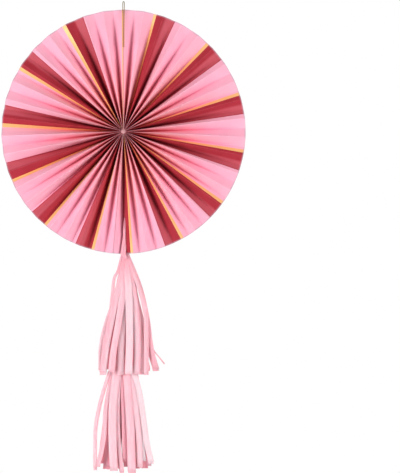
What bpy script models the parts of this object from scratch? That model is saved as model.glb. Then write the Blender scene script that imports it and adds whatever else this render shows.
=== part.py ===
"""Paper fan rosette with a gold hanging thread and a two-tier tissue tassel.

Metres, +Z up. The disc stands in the XZ plane and faces -Y. The origin is the top of the
thread's loop, the point that the rosette hangs from.

Two equal pleated sheets make the disc. Fold n of the circle is a mountain (towards the front)
where n is whole, and a valley where n is a half. Fold 0 is the seam at twelve o'clock, and the
numbers run clockwise as seen from the front. A flat section at one radius is drawn in two
coordinates, the arc length from the seam and the depth along +Y.
"""
import math
import random

import bmesh
import bpy
from mathutils import Vector

# Disc
DISC_RADIUS = 0.200
RIGHT_PLEATS = 21
LEFT_PLEATS = 20
BOTTOM_SEAM_ANGLE = 184.9
# How far the folds lean towards the bottom, in degrees: the pleats stand wider at the top.
FOLD_LEAN = 4.5
# Depth of the shallowest pleat at the rim
RIM_DEPTH = 0.0052
PAPER = 0.00018
# Free space between two panels where they crowd most, at the inner edge
CROWDED_GAP = 0.00003
# Rows of the mesh: the first step at the hub, how many times it doubles, and the steps that follow
FIRST_ROW_STEP = 0.0025
HUB_ROWS = 4
OUTER_ROWS = 7

# Seams: the left sheet's outer panels are glue flaps behind the right sheet's outer panels.
TAPE = 0.00012
TAPE_GAP = 0.0003
TAPE_WIDTH = 0.0090
TAPE_FROM_FOLD = 0.0030
TAPE_START = 0.060

# Printed stripes, measured along the flat sheet from its first edge
RIGHT_FIRST_STRIPE = 0.0512
RIGHT_STRIPE_STEP = 0.1062
LEFT_FIRST_STRIPE = 0.0558
LEFT_STRIPE_STEP = 0.1088
GOLD_WIDTH = 0.0060
BURGUNDY_WIDTH = 0.0343
# An edge of print this close to a fold lies on the fold
PRINT_SNAP = 0.0011

# Binding thread through the panels' inner edges, and its knot in the core
BINDING_THREAD = 0.0007
BINDING_RADIUS = 0.0062
THREAD_CLEARANCE = 0.0003
KNOT_RADIUS = 0.0036
KNOT_RISE = 0.0022
CORE_CLEARANCE = 0.00035
# The knot's round front, as shares of its radius and rise, from its tip to its widest ring
KNOT_FRONT = ((0.0, 1.0), (0.45, 0.92), (0.85, 0.62), (1.0, 0.25), (0.92, 0.0))
# The thread's end behind the core, as shares of the core's radius and the knot's rise
KNOT_BACK = ((0.6, 0.2), (0.0, 0.3))
KNOT_SEGMENTS = 16
RING_SEGMENTS = 48
RING_SIDES = 6

# Hanging thread
LOOP_RISE = 0.0135
HANGING_THREAD = 0.0013
THREAD_POINTS = 64

# Tassel of cut tissue
SEAT_GAP = 0.0003
TAIL_LENGTH = 0.059
TAIL_HALF_WIDTH = 0.0021
TAIL_TIP_HALF_WIDTH = 0.0008
TAIL_THICKNESS = 0.0009
TAIL_FROM_VALLEY = 0.0068
TAIL_GAP = 0.0006
TAIL_STEPS = 8
# How far the neck starts below the rim
NECK_DROP = 0.0035
NECK_HALF_WIDTH = 0.0062
NECK_HALF_DEPTH = 0.0024
HEAD_LENGTH = 0.062
HEAD_STEPS = 7
STRIP_COLUMNS = 6
STRIP_ROWS = 2
STRIP_WIDTH = 0.0085
STRIP_GAP = 0.0003
STRIP_LAYER = 0.0026
STRIP_END_THICKNESS = 0.0009
CORE_DEPTH = 0.0050
UPPER_LENGTH = 0.195
LOWER_LENGTH = 0.206
LOWER_DROP = 0.149
LOWER_TAIL_RADIUS = 0.0016
LOWER_TAIL_STEPS = 5
# Sideways lean of each tier's head and of its foot
UPPER_HEAD_LEAN = 0.0035
UPPER_FOOT_LEAN = 0.0057
LOWER_HEAD_LEAN = -0.0060
LOWER_FOOT_LEAN = -0.0020
# How much further out the strips end than they start, and how late they spread (1 is evenly)
WIDTH_FLARE = 1.95
DEPTH_FLARE = 2.60
UPPER_SPREAD = 0.9
LOWER_SPREAD = 0.6
# Spread of the strips' ends: between the rows, and by hand sideways, up and in turn
ROW_STAGGER = 0.0110
END_SHIFT = 0.0012
END_LIFT = 0.0050
END_TURN = 9
BOW = 0.0010
STRIP_STEPS = 4

# Worked out from the sizes above
PLEATS = RIGHT_PLEATS + LEFT_PLEATS
SEAM_STEP = PAPER + TAPE + 2 * TAPE_GAP
CORE_SEAM_STEP = PAPER + SEAT_GAP
HUB = Vector((0, 0, -LOOP_RISE - DISC_RADIUS))
RIM_BOTTOM = HUB.z - DISC_RADIUS

PINK, GOLD, BURGUNDY = range(3)


def clear_scene():
    for old in list(bpy.data.objects):
        bpy.data.objects.remove(old, do_unlink=True)


def material(name, colour, roughness, metallic=0.0):
    """A Principled material, made once for each name."""
    known = bpy.data.materials.get(name)
    if known:
        return known
    made = bpy.data.materials.new(name)
    made.use_nodes = True
    shader = made.node_tree.nodes["Principled BSDF"]
    shader.inputs["Base Color"].default_value = (*colour, 1.0)
    shader.inputs["Roughness"].default_value = roughness
    shader.inputs["Metallic"].default_value = metallic
    return made


def paper_materials():
    return [
        material("pink_paper", (0.93, 0.43, 0.56), 0.65),
        material("gold_foil", (0.86, 0.56, 0.20), 0.28, 1.0),
        material("burgundy_print", (0.48, 0.06, 0.09), 0.6),
    ]


def tissue_material():
    return material("pink_tissue", (0.95, 0.58, 0.65), 0.8)


def add_object(name, data, materials, location=HUB):
    """Puts a mesh or curve into the scene under the hanging point."""
    made = bpy.data.objects.new(name, data)
    for finish in materials:
        data.materials.append(finish)
    bpy.context.collection.objects.link(made)
    made.location = location
    made.parent = bpy.data.objects["hanging_point"]
    return made


def finish_mesh(name, shape, weld=0.0):
    """Turns a bmesh into a mesh with its faces pointing out.

    The twisted panels are cut into triangles first, because thin ones have no exact side otherwise.
    """
    if weld:
        bmesh.ops.remove_doubles(shape, verts=shape.verts, dist=weld)
    bmesh.ops.triangulate(shape, faces=shape.faces)
    bmesh.ops.recalc_face_normals(shape, faces=shape.faces)
    if shape.calc_volume(signed=True) < 0:
        bmesh.ops.reverse_faces(shape, faces=shape.faces)
    mesh = bpy.data.meshes.new(name)
    shape.to_mesh(mesh)
    shape.free()
    return mesh


# Folds of the disc

def fold_angle(n):
    """Angle of fold n, in degrees clockwise from the top seam."""
    if n < 0:
        return fold_angle(n + PLEATS) - 360
    if n > PLEATS:
        return fold_angle(n - PLEATS) + 360
    if n <= RIGHT_PLEATS:
        share = n / RIGHT_PLEATS
        return BOTTOM_SEAM_ANGLE * share + FOLD_LEAN * math.sin(math.pi * share)
    share = (PLEATS - n) / LEFT_PLEATS
    return 360 - (360 - BOTTOM_SEAM_ANGLE) * share - FOLD_LEAN * math.sin(math.pi * share)


def half_pitch(n):
    """Mean angle of the two panels that meet in fold n, in radians."""
    return math.radians(fold_angle(n + 0.5) - fold_angle(n - 0.5)) / 2


HALF_PITCHES = [half_pitch(k / 2) for k in range(2 * PLEATS)]
PANEL_WIDTH = math.hypot(DISC_RADIUS * max(HALF_PITCHES), RIM_DEPTH)
PLEAT_LENGTH = 2 * PANEL_WIDTH
PANEL_PITCH = PAPER + CROWDED_GAP
CORE_RADIUS = PANEL_PITCH / min(HALF_PITCHES) + CORE_SEAM_STEP / math.pi


def seam_step(radius):
    """Distance from a seam's outer panel to the flap behind it, which grows up to the tape."""
    share = min(1, (radius - CORE_RADIUS) / (TAPE_START - CORE_RADIUS))
    return CORE_SEAM_STEP + (SEAM_STEP - CORE_SEAM_STEP) * share


def open_share(radius):
    """Share of the circle that the pleats fill at a radius: each seam takes one seam step."""
    return 1 - seam_step(radius) / (math.pi * radius)


def is_mountain(n):
    return round(2 * n) % 2 == 0


def fold_depth(n, radius):
    """Depth of the pleats at fold n, from the panel's width and the arc that it spans."""
    across = radius * open_share(radius) * half_pitch(n)
    return math.sqrt(PANEL_WIDTH ** 2 - across ** 2)


def fold_point(n, radius, left):
    """Arc and depth of fold n. The left sheet's end mountains sit one seam step further back."""
    arc = math.radians(fold_angle(n)) * open_share(radius) * radius
    arc += seam_step(radius) * (1.5 if left else 0.5)
    depth = fold_depth(n, radius) / 2
    if is_mountain(n):
        depth = -depth
        if left and n in (RIGHT_PLEATS, PLEATS):
            depth += seam_step(radius)
    return Vector((arc, depth))


def place(point, radius):
    """Takes an arc and a depth at a radius to the hub's frame."""
    turn = point.x / radius
    return Vector((radius * math.sin(turn), point.y, radius * math.cos(turn)))


def front_normal(start, end):
    """Unit vector square to a panel, on the side that faces the front."""
    along = (end - start).normalized()
    return Vector((along.y, -along.x))


def radii():
    """Radii of the mesh's rows.

    They are close together at the hub, where neighbouring panels almost touch, and again
    towards the rim, where the folds curve most.
    """
    rows = [CORE_RADIUS]
    for k in range(HUB_ROWS):
        rows.append(rows[-1] + FIRST_ROW_STEP * 2 ** k)
    span = DISC_RADIUS - rows[-1]
    for k in range(OUTER_ROWS - 1, -1, -1):
        rows.append(DISC_RADIUS - span * (k / OUTER_ROWS) ** 1.25)
    return rows


# Printed stripes

def stripe_fields(first, step, length):
    """Fields of print along a sheet, as (start, end, colour) in metres from its first edge.

    The print stops at the last panel, which is left plain to take the glue.
    """
    fields = []
    last = length - PANEL_WIDTH
    start = first
    while start < last:
        middle = start + GOLD_WIDTH
        end = middle + BURGUNDY_WIDTH
        fields.append((start, min(middle, last), GOLD))
        if middle < last:
            fields.append((middle, min(end, last), BURGUNDY))
        start += step
    return fields


def snap_to_fold(n):
    """Moves an edge of print that lies next to a fold onto the fold."""
    fold = round(2 * n) / 2
    return fold if abs(n - fold) * PLEAT_LENGTH < PRINT_SNAP else n


class Sheet:
    """One pleated sheet: its fold numbers, its print and whether it is the left one."""

    def __init__(self, first_fold, last_fold, print_start, first_stripe, stripe_step, left):
        self.first_fold = first_fold
        self.last_fold = last_fold
        self.left = left
        length = 2 * RIGHT_PLEATS * PANEL_WIDTH
        self.fields = []
        for start, end, ink in stripe_fields(first_stripe, stripe_step, length):
            near = snap_to_fold(print_start + start / PLEAT_LENGTH)
            far = snap_to_fold(print_start + end / PLEAT_LENGTH)
            self.fields.append((near, far, ink))
        edges = {edge for start, end, ink in self.fields for edge in (start, end)}
        folds = {k / 2 for k in range(2 * first_fold, 2 * last_fold + 1)}
        inside = {edge for edge in edges if first_fold < edge < last_fold}
        self.stops = sorted(folds | inside)

    def ink(self, n):
        """Colour printed at fold number n."""
        for start, end, colour in self.fields:
            if start < n < end:
                return colour
        return PINK


def on_skin(spot, start, end):
    """The spot, or the nearer end of a skin that runs from start to end where the spot is past it."""
    along = end - start
    if (spot - start).dot(along) <= 0:
        return start.copy()
    if (end - spot).dot(along) <= 0:
        return end.copy()
    return spot


def fold_corners(before, fold, after, mountain):
    """Front and back corners of a fold, for the panel before it and for the panel after it."""
    half = PAPER / 2
    first = front_normal(before, fold)
    second = front_normal(fold, after)
    total = first + second
    inner = total * (2 * half / total.length_squared)
    if mountain:
        return (fold + first * half, fold - inner), (fold + second * half, fold - inner)
    return (fold + inner, fold - first * half), (fold + inner, fold - second * half)


def edge_corners(edge, start, end):
    """Front and back corners of a free edge on the panel from start to end."""
    offset = front_normal(start, end) * (PAPER / 2)
    return edge + offset, edge - offset


def flap_end(mountain, valley, radius):
    """End of a glue flap, which lies one seam step behind the right sheet's outer panel."""
    side = -1 if valley > mountain else 1
    return fold_point(valley, radius, False) + Vector((side, 1)) * seam_step(radius)


def section(sheet, radius):
    """A sheet cut at a radius: a row of (fold number, front corner, back corner).

    An edge of print divides both skins, so that their cells stay alike.
    """
    folds = [k / 2 for k in range(2 * sheet.first_fold, 2 * sheet.last_fold + 1)]
    line = [fold_point(n, radius, sheet.left) for n in folds]
    first_flap = last_flap = None
    if sheet.left:
        turn = 2 * math.pi * radius
        first_flap = flap_end(RIGHT_PLEATS, RIGHT_PLEATS - 0.5, radius)
        last_flap = flap_end(0, 0.5, radius) + Vector((turn, 0))
    pairs = {}
    for k, n in enumerate(folds):
        before = line[k - 1] if k else first_flap
        after = line[k + 1] if k + 1 < len(line) else last_flap
        if before is None:
            pairs[n] = [edge_corners(line[k], line[k], after)] * 2
        elif after is None:
            pairs[n] = [edge_corners(line[k], before, line[k])] * 2
        else:
            pairs[n] = list(fold_corners(before, line[k], after, is_mountain(n)))
    row = []
    for n in sheet.stops:
        if n in pairs:
            row += [(n, *pair) for pair in pairs[n]]
            continue
        low = math.floor(2 * n) / 2
        start, end = line[folds.index(low)], line[folds.index(low + 0.5)]
        corners = edge_corners(start.lerp(end, 2 * (n - low)), start, end)
        near, far = pairs[low][1], pairs[low + 0.5][0]
        row.append((n, *[on_skin(*ends) for ends in zip(corners, near, far)]))
    if sheet.left:
        first = (sheet.first_fold - 0.5, *edge_corners(first_flap, first_flap, line[0]))
        last = (sheet.last_fold + 0.5, *edge_corners(last_flap, line[-1], last_flap))
        row = [first] + row + [last]
    return row


def skin(shape, inner, outer):
    """Joins two rows of corners into pairs of triangles.

    Every cell is cut along the same diagonal, on both skins, so that the two skins of a
    twisted panel stay one paper's thickness apart.
    """
    faces = []
    for a, b, c, d in zip(inner, inner[1:], outer[1:], outer):
        faces.append((shape.faces.new((a, b, c)), shape.faces.new((a, c, d))))
    return faces


def close_row(shape, row):
    """Closes the sheet along its inner edge or its rim, cell by cell."""
    for (_, front, back), (_, next_front, next_back) in zip(row, row[1:]):
        shape.faces.new((front, next_front, next_back, back))


def pleated_sheet(name, sheet):
    """Builds one pleated sheet as a closed solid, with its print as fields of colour."""
    shape = bmesh.new()
    rows = []
    for radius in radii():
        row = []
        for n, front, back in section(sheet, radius):
            row.append((n, shape.verts.new(place(front, radius)), shape.verts.new(place(back, radius))))
        rows.append(row)
    for inner, outer in zip(rows, rows[1:]):
        cells = skin(shape, [corner[1] for corner in inner], [corner[1] for corner in outer])
        for (near, _, _), (far, _, _), pair in zip(inner, inner[1:], cells):
            for face in pair:
                face.material_index = sheet.ink((near + far) / 2)
        skin(shape, [corner[2] for corner in inner], [corner[2] for corner in outer])
        for k in (0, -1):
            skin(shape, inner[k][1:], outer[k][1:])
    close_row(shape, rows[0])
    close_row(shape, rows[-1])
    made = add_object(name, finish_mesh(name, shape, weld=1e-7), paper_materials())
    punch = made.modifiers.new("thread_holes", "BOOLEAN")
    punch.operation = "DIFFERENCE"
    punch.object = bpy.data.objects["thread_hole_cutter"]


def thread_ring(name, thickness):
    """A ring of thread round the hub, half way through the disc's depth."""
    bpy.ops.mesh.primitive_torus_add(
        major_radius=BINDING_RADIUS, minor_radius=thickness / 2,
        major_segments=RING_SEGMENTS, minor_segments=RING_SIDES, rotation=(math.pi / 2, 0, 0),
    )
    made = bpy.context.object
    made.name = name
    made.location = HUB
    made.parent = bpy.data.objects["hanging_point"]
    return made


def binding_thread():
    """Cuts a hole for the thread in each panel, then adds the thread itself."""
    cutter = thread_ring("thread_hole_cutter", BINDING_THREAD + 2 * THREAD_CLEARANCE)
    cutter.hide_render = True
    cutter.display_type = "WIRE"
    thread = thread_ring("binding_thread", BINDING_THREAD)
    thread.data.shade_smooth()
    thread.data.materials.append(material("binding_thread", (0.80, 0.55, 0.56), 0.8))


def hub_knot():
    """The knotted ends of the binding thread, drawn through the core from back to front."""
    reach = PANEL_WIDTH / 2 + PAPER / 2 + SEAT_GAP
    stem = CORE_RADIUS - CORE_CLEARANCE
    profile = [(share * KNOT_RADIUS, -reach - rise * KNOT_RISE) for share, rise in KNOT_FRONT]
    profile += [(stem, -reach), (stem, reach - SEAT_GAP)]
    profile += [(share * stem, reach + rise * KNOT_RISE) for share, rise in KNOT_BACK]
    shape = bmesh.new()
    corners = [shape.verts.new((along, depth, 0)) for along, depth in profile]
    for a, b in zip(corners, corners[1:]):
        shape.edges.new((a, b))
    bmesh.ops.spin(
        shape, geom=shape.verts[:] + shape.edges[:], axis=(0, 1, 0), cent=(0, 0, 0),
        angle=2 * math.pi, steps=KNOT_SEGMENTS, use_merge=True,
    )
    made = add_object("hub_knot", finish_mesh("hub_knot", shape, weld=1e-6), [])
    made.data.materials.append(material("binding_thread", (0.80, 0.55, 0.56), 0.8))
    made.data.shade_smooth()


def loft(shape, rings, cap_start=True, cap_end=True):
    """Joins equal rings of corners into a tube and closes the ends asked for."""
    loops = [[shape.verts.new(corner) for corner in ring] for ring in rings]
    for near, far in zip(loops, loops[1:]):
        for k in range(len(near)):
            shape.faces.new((near[k - 1], near[k], far[k], far[k - 1]))
    if cap_start:
        shape.faces.new(loops[0])
    if cap_end:
        shape.faces.new(loops[-1])
    return loops


def tape_ring(near, far, inner_edge, outer_edge, inner_turn, outer_turn):
    """A ring of the tape: its edges where they cross the diagonal of a panel's cell.

    The turns are how far out along the cell each edge crosses. On a row they are 0 or 1.
    """
    ring = []
    for side in (0, 1):
        edges = []
        for edge, turn in ((inner_edge, inner_turn), (outer_edge, outer_turn)):
            if near is far:
                edges.append(near[side][0].lerp(near[side][1], edge))
            elif turn == edge:
                edges.append(near[side][0].lerp(far[side][1], turn))
            else:
                edges.append(near[side][1].lerp(far[side][0], turn))
        ring.append(edges)
    return [ring[0][0], ring[0][1], ring[1][1], ring[1][0]]


def seam_tape(name, mountain, valley):
    """Double-sided tape between the right sheet's outer panel and the flap behind it."""
    side = -1 if valley > mountain else 1
    behind = Vector((side, 1)) * (SEAM_STEP / 2)
    inner_edge = TAPE_FROM_FOLD / PANEL_WIDTH
    outer_edge = inner_edge + TAPE_WIDTH / PANEL_WIDTH
    rows = []
    for radius in [radius for radius in radii() if radius > TAPE_START][:-1]:
        top = fold_point(mountain, radius, False)
        bottom = fold_point(valley, radius, False)
        thick = front_normal(top, bottom) * (TAPE / 2)
        front = [place(spot + behind + thick, radius) for spot in (top, bottom)]
        back = [place(spot + behind - thick, radius) for spot in (top, bottom)]
        rows.append((front, back))
    rings = [tape_ring(rows[0], rows[0], inner_edge, outer_edge, 0, 0)]
    for near, far in zip(rows, rows[1:]):
        turns = (inner_edge, outer_edge) if side < 0 else (1 - inner_edge, 1 - outer_edge)
        rings.append(tape_ring(near, far, inner_edge, outer_edge, *turns))
        rings.append(tape_ring(far, far, inner_edge, outer_edge, 1, 1))
    shape = bmesh.new()
    loft(shape, rings)
    add_object(name, finish_mesh(name, shape), [material("tape", (0.90, 0.88, 0.82), 0.4)])


# Hanging thread

# Points that the thread passes, from one glued end over the loop's top to the other end.
# The second strand mirrors the first across x = 0.
THREAD_ROUTE = (
    (0.00095, -0.00755, -0.0755),
    (0.00100, -0.00704, -0.0625),
    (0.00100, -0.00637, -0.0485),
    (0.00105, -0.00568, -0.0365),
    (0.00115, -0.00488, -0.0255),
    (0.00120, -0.00404, -0.0165),
    (0.00125, -0.00322, -0.0110),
    (0.00130, -0.00170, -0.0060),
    (0.00125, -0.00070, -0.0032),
    (0.00090, -0.00014, -0.0009),
)
THREAD_TOP = (0.0, 0.0, 0.0)


def smooth_route(points, count):
    """Points at even steps along a smooth curve through the route's points."""
    ends = [points[0] * 2 - points[1]] + points + [points[-1] * 2 - points[-2]]
    fine = []
    for a, b, c, d in zip(ends, ends[1:], ends[2:], ends[3:]):
        for k in range(12):
            t = k / 12
            bend = (b * 2 + (c - a) * t + (a * 2 - b * 5 + c * 4 - d) * t ** 2
                    + (b * 3 - a - c * 3 + d) * t ** 3)
            fine.append(bend / 2)
    fine.append(points[-1])
    marks = [0.0]
    for a, b in zip(fine, fine[1:]):
        marks.append(marks[-1] + (b - a).length)
    even, k = [], 0
    for step in range(count):
        target = marks[-1] * step / (count - 1)
        while k < len(marks) - 2 and marks[k + 1] < target:
            k += 1
        even.append(fine[k].lerp(fine[k + 1], (target - marks[k]) / (marks[k + 1] - marks[k])))
    return even


def hanging_thread():
    """The gold thread: both strands glued down the seam's fold, and the free loop above the rim."""
    rise = [Vector(point) for point in THREAD_ROUTE]
    fall = [Vector((-point.x, point.y, point.z)) for point in reversed(rise)]
    route = smooth_route(rise + [Vector(THREAD_TOP)] + fall, THREAD_POINTS)
    curve = bpy.data.curves.new("hanging_thread", "CURVE")
    curve.dimensions = "3D"
    curve.bevel_depth = HANGING_THREAD / 2
    curve.bevel_resolution = 2
    curve.use_fill_caps = True
    line = curve.splines.new("POLY")
    line.points.add(len(route) - 1)
    for spot, point in zip(line.points, route):
        spot.co = (*point, 1.0)
    add_object("hanging_thread", curve, [material("gold_thread", (0.72, 0.58, 0.32), 0.45, 0.4)], (0, 0, 0))


# Tassel

def grid_edges():
    """Places of the cell edges across and through a tassel's head, each from -1 to 1."""
    across = [2 * k / STRIP_COLUMNS - 1 for k in range(STRIP_COLUMNS + 1)]
    layers = [CORE_DEPTH / 2 + k * (STRIP_LAYER + STRIP_GAP) for k in range(STRIP_ROWS + 1)]
    through = [-depth / layers[-1] for depth in reversed(layers)] + [depth / layers[-1] for depth in layers]
    return across, through, layers[-1]


def rim_of_grid(across, through):
    """The grid's outline, corner by corner, as places from -1 to 1."""
    down = [(x, -1) for x in across[:-1]]
    right = [(1, y) for y in through[:-1]]
    up = [(x, 1) for x in reversed(across[1:])]
    left = [(-1, y) for y in reversed(through[1:])]
    return down + right + up + left


def head_ring(centre, wide, deep, squareness, outline):
    """A ring of the head, between an ellipse (squareness 0) and the strips' block (1)."""
    ring = []
    for x, y in outline:
        round_x = x * math.sqrt(1 - y * y / 2)
        round_y = y * math.sqrt(1 - x * x / 2)
        u = round_x + (x - round_x) * squareness
        v = round_y + (y - round_y) * squareness
        ring.append(centre + wide * u + deep * v)
    return ring


def strip_rings(cell, row, centre, foot, spread, rng):
    """Rings of one tissue strip, from its cell under the head down to its end."""
    middle = sum(cell, Vector()) / 4
    out = middle - centre
    rows = 2 * STRIP_ROWS + 1
    stagger = (2 * row % rows / (rows - 1) - 0.5) * ROW_STAGGER
    end = Vector((
        foot.x + out.x * WIDTH_FLARE + stagger + rng.uniform(-END_SHIFT, END_SHIFT),
        out.y * DEPTH_FLARE,
        foot.z + rng.uniform(0.0, END_LIFT),
    ))
    twist = math.radians(rng.uniform(-END_TURN, END_TURN))
    bow = rng.uniform(0.5, 1.5) * BOW
    rings = [cell]
    for k in range(1, STRIP_STEPS + 1):
        share = k / STRIP_STEPS
        spot = Vector((
            middle.x + (end.x - middle.x) * share ** spread,
            middle.y + (end.y - middle.y) * math.sin(share * math.pi / 2),
            middle.z + (end.z - middle.z) * share,
        ))
        spot.x += math.copysign(bow, out.x) * math.sin(math.pi * share)
        turn = twist * share
        half_width = Vector((math.cos(turn), math.sin(turn), 0)) * (STRIP_WIDTH / 2)
        thin = STRIP_LAYER + (STRIP_END_THICKNESS - STRIP_LAYER) * share ** 0.5
        half_depth = Vector((-math.sin(turn), math.cos(turn), 0)) * (thin / 2)
        rings.append([
            spot - half_width - half_depth, spot + half_width - half_depth,
            spot + half_width + half_depth, spot - half_width + half_depth,
        ])
    return rings


def tassel(name, neck, tail, leans, spread, length, seed):
    """One tier: a tail, a gathered neck and head, and rows of cut strips under the head.

    The tail's rings come first, each as (centre, half width, half depth). The middle of the
    head carries no strips, so that the next tier's tail can run up between the rows.
    """
    rng = random.Random(seed)
    across, through, half_depth = grid_edges()
    outline = rim_of_grid(across, through)
    half_width = STRIP_COLUMNS * (STRIP_WIDTH + STRIP_GAP) / 2
    rings = [head_ring(centre, wide, deep, 0, outline) for centre, wide, deep in tail]
    for k in range(HEAD_STEPS + 1):
        share = k / HEAD_STEPS
        centre = neck + Vector((leans[0] * math.sin(share * math.pi / 2), 0, -HEAD_LENGTH * share))
        wide = Vector((NECK_HALF_WIDTH + (half_width - NECK_HALF_WIDTH) * share, 0, 0))
        deep = Vector((0, NECK_HALF_DEPTH + (half_depth - NECK_HALF_DEPTH) * share, 0))
        rings.append(head_ring(centre, wide, deep, share ** 3, outline))
    shape = bmesh.new()
    base = loft(shape, rings, cap_end=False)[-1]
    corners = dict(zip(outline, base))
    for x in across:
        for y in through:
            if (x, y) not in corners:
                corners[x, y] = shape.verts.new(centre + Vector((x * half_width, y * half_depth, 0)))
    foot = neck + Vector((leans[1], 0, -length))
    for column in range(STRIP_COLUMNS):
        for row in range(2 * STRIP_ROWS + 1):
            x0, x1 = across[column], across[column + 1]
            y0, y1 = through[row], through[row + 1]
            cell = [corners[x0, y0], corners[x1, y0], corners[x1, y1], corners[x0, y1]]
            if row == STRIP_ROWS:
                shape.faces.new(cell)
                continue
            inset = Vector((STRIP_GAP / 2, STRIP_GAP / 2, 0))
            low, high = cell[0].co + inset, cell[2].co - inset
            inner = [low, Vector((high.x, low.y, low.z)), high, Vector((low.x, high.y, low.z))]
            strip = strip_rings(inner, row, centre, foot, spread, rng)
            loops = loft(shape, strip, cap_start=False)
            for k in range(4):
                shape.faces.new((cell[k - 1], cell[k], loops[0][k], loops[0][k - 1]))
    add_object(name, finish_mesh(name, shape), [tissue_material()], (0, 0, 0))


def groove_tail():
    """Rings of the upper tail, which lies on a panel in the groove at the foot of the disc."""
    mountain, valley = RIGHT_PLEATS - 1, RIGHT_PLEATS - 0.5
    rings = []
    for k in range(TAIL_STEPS + 1):
        share = k / TAIL_STEPS
        radius = DISC_RADIUS - TAIL_LENGTH * (1 - share)
        top = fold_point(mountain, radius, False)
        bottom = fold_point(valley, radius, False)
        along = (top - bottom).normalized()
        front = front_normal(top, bottom)
        half = TAIL_TIP_HALF_WIDTH + (TAIL_HALF_WIDTH - TAIL_TIP_HALF_WIDTH) * share
        spot = bottom + along * TAIL_FROM_VALLEY + front * (PAPER / 2 + TAIL_GAP + TAIL_THICKNESS / 2)
        centre = HUB + place(spot, radius)
        wide = HUB + place(spot + along * half, radius) - centre
        deep = centre - HUB - place(spot + front * (TAIL_THICKNESS / 2), radius)
        rings.append((centre, wide, deep))
    return rings


def tassels():
    """The upper tier glued in the foot's groove, and the lower tier hung inside it."""
    rings = groove_tail()
    centre, wide, deep = rings[-1]
    drop = Vector((0, 0, -SEAT_GAP - TAIL_THICKNESS))
    rings.append((centre + drop, wide, deep))
    upper_neck = Vector((centre.x, 0, RIM_BOTTOM - NECK_DROP))
    upper_leans = (UPPER_HEAD_LEAN, UPPER_FOOT_LEAN)
    lower_leans = (LOWER_HEAD_LEAN, LOWER_FOOT_LEAN)
    tassel("tassel_upper", upper_neck, rings, upper_leans, UPPER_SPREAD, UPPER_LENGTH, 3)
    lower_neck = upper_neck + Vector((0, 0, -LOWER_DROP))
    tail_top = upper_neck.z - HEAD_LENGTH - SEAT_GAP
    tail_foot = lower_neck.z + NECK_HALF_WIDTH
    wide, deep = Vector((LOWER_TAIL_RADIUS, 0, 0)), Vector((0, LOWER_TAIL_RADIUS, 0))
    rings = []
    for k in range(LOWER_TAIL_STEPS + 1):
        height = tail_top + (tail_foot - tail_top) * k / LOWER_TAIL_STEPS
        rings.append((Vector((lower_neck.x, 0, height)), wide, deep))
    tassel("tassel_lower", lower_neck, rings, lower_leans, LOWER_SPREAD, LOWER_LENGTH, 8)


def main():
    clear_scene()
    hanging_point = bpy.data.objects.new("hanging_point", None)
    bpy.context.collection.objects.link(hanging_point)
    binding_thread()
    hub_knot()
    right = Sheet(0, RIGHT_PLEATS, 0.0, RIGHT_FIRST_STRIPE, RIGHT_STRIPE_STEP, False)
    left_start = RIGHT_PLEATS - 0.5
    left = Sheet(RIGHT_PLEATS, PLEATS, left_start, LEFT_FIRST_STRIPE, LEFT_STRIPE_STEP, True)
    pleated_sheet("pleated_sheet_right", right)
    pleated_sheet("pleated_sheet_left", left)
    seam_tape("seam_tape_top", 0, 0.5)
    seam_tape("seam_tape_bottom", RIGHT_PLEATS, RIGHT_PLEATS - 0.5)
    hanging_thread()
    tassels()


main()
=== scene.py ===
"""Dressed model of the pleated paper fan rosette with its thread and tissue tassel."""
import math
import random

import bmesh
import bpy
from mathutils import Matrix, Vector, noise


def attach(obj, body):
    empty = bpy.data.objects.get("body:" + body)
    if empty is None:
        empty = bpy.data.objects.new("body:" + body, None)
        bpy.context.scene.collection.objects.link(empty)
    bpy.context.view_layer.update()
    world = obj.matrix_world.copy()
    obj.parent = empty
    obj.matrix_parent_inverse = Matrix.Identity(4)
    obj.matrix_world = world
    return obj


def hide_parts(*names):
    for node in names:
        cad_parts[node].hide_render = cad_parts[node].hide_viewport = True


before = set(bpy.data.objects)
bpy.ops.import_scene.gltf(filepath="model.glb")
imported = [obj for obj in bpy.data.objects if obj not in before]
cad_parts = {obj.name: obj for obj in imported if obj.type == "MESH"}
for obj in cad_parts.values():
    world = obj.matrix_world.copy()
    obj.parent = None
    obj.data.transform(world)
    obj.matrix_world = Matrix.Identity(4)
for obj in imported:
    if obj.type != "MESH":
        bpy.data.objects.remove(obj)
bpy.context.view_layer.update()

# Sizes shared with the solids, in metres, and angles in degrees, clockwise from the top
DISC_RADIUS = 0.200
RIGHT_PLEATS = 21
LEFT_PLEATS = 20
PLEATS = RIGHT_PLEATS + LEFT_PLEATS
SHEET_PANELS = 2 * RIGHT_PLEATS
BOTTOM_SEAM_ANGLE = 184.9
FOLD_LEAN = 4.5
RIM_DEPTH = 0.0052
PAPER = 0.00018
SEAM_STEP = 0.0009
CORE_SEAM_STEP = 0.00048
TAPE_START = 0.060
CORE_RADIUS = 0.00304
HUB = Vector((0, 0, -0.2135))
RIM_BOTTOM = HUB.z - DISC_RADIUS
THREAD_WIDTH = 0.0013

# Photograph's frame, in pixels: its size, the disc's radius and the hub's place
PHOTO_WIDTH = 400
PHOTO_HEIGHT = 473
DISC_PIXELS = 122
HUB_PIXEL = (123.6, 131.8)
SCALE = DISC_RADIUS / DISC_PIXELS


def seen(x, y, depth=0.0):
    """Point of the row frame that the camera sees at a pixel of the photograph."""
    return Vector(((x - HUB_PIXEL[0]) * SCALE, depth, HUB.z - (y - HUB_PIXEL[1]) * SCALE))


# Camera, with its lens and sensor in millimetres
LENS = 130
SENSOR = 36
CLIP_START = 0.05
CLIP_END = 50


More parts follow.
